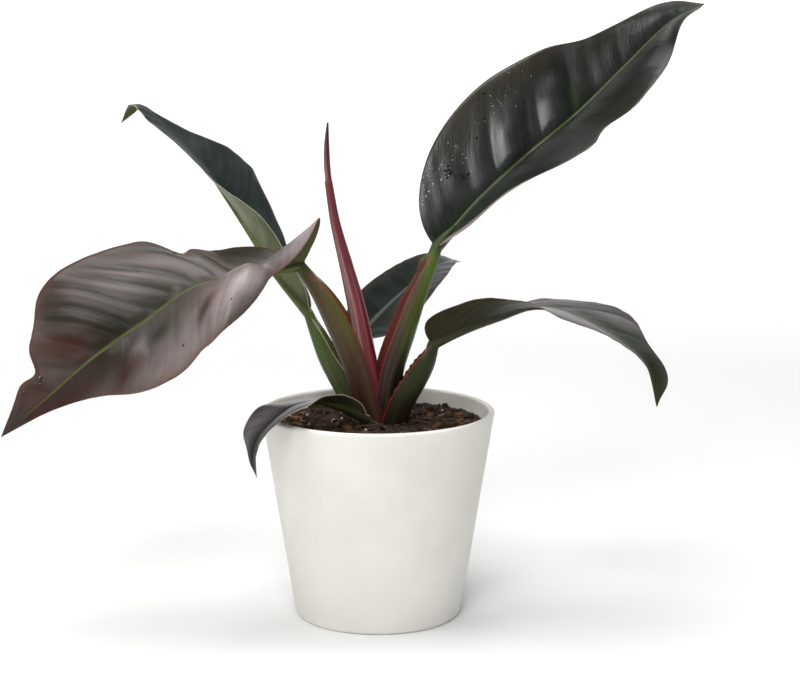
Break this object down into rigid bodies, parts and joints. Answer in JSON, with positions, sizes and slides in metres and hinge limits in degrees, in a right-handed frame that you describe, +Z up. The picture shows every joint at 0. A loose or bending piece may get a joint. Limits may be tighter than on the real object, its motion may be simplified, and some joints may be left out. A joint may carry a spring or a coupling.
{
  "type": "potted philodendron",
  "caption": "Young red-and-green philodendron with six dark pointed leaves and a red rolled new leaf, in a plain tapered pot.",
  "frame": {"origin": "centre of the pot's foot, on the surface it stands on", "axes": "+Z up, +X towards the tip of the tall leaf, -Y towards the viewer"},
  "size_m": [0.4119, 0.2244, 0.3659],
  "materials": {
    "pot": "matt off-white ceramic",
    "soil": "rough dark potting mix",
    "stem": "dull brown rootstock",
    "stalk": "smooth green stalk with red wing edges",
    "blade": "glossy dark green leaf, bronze where young",
    "sheath": "smooth maroon sheath",
    "rolled_leaf": "smooth maroon rolled leaf"
  },
  "bodies": {
    "root": {"pot": "pot", "soil": "soil", "stem": "stem", "sheath": "sheath", "rolled_leaf": "rolled_leaf", "stalk_tall_right": "stalk", "blade_tall_right": "blade", "stalk_wide_left": "stalk", "blade_wide_left": "blade", "stalk_back_left": "stalk", "blade_back_left": "blade", "stalk_back_middle": "stalk", "blade_back_middle": "blade", "stalk_arching_right": "stalk", "blade_arching_right": "blade", "stalk_low_left": "stalk", "blade_low_left": "blade"}
  },
  "joints": []
}
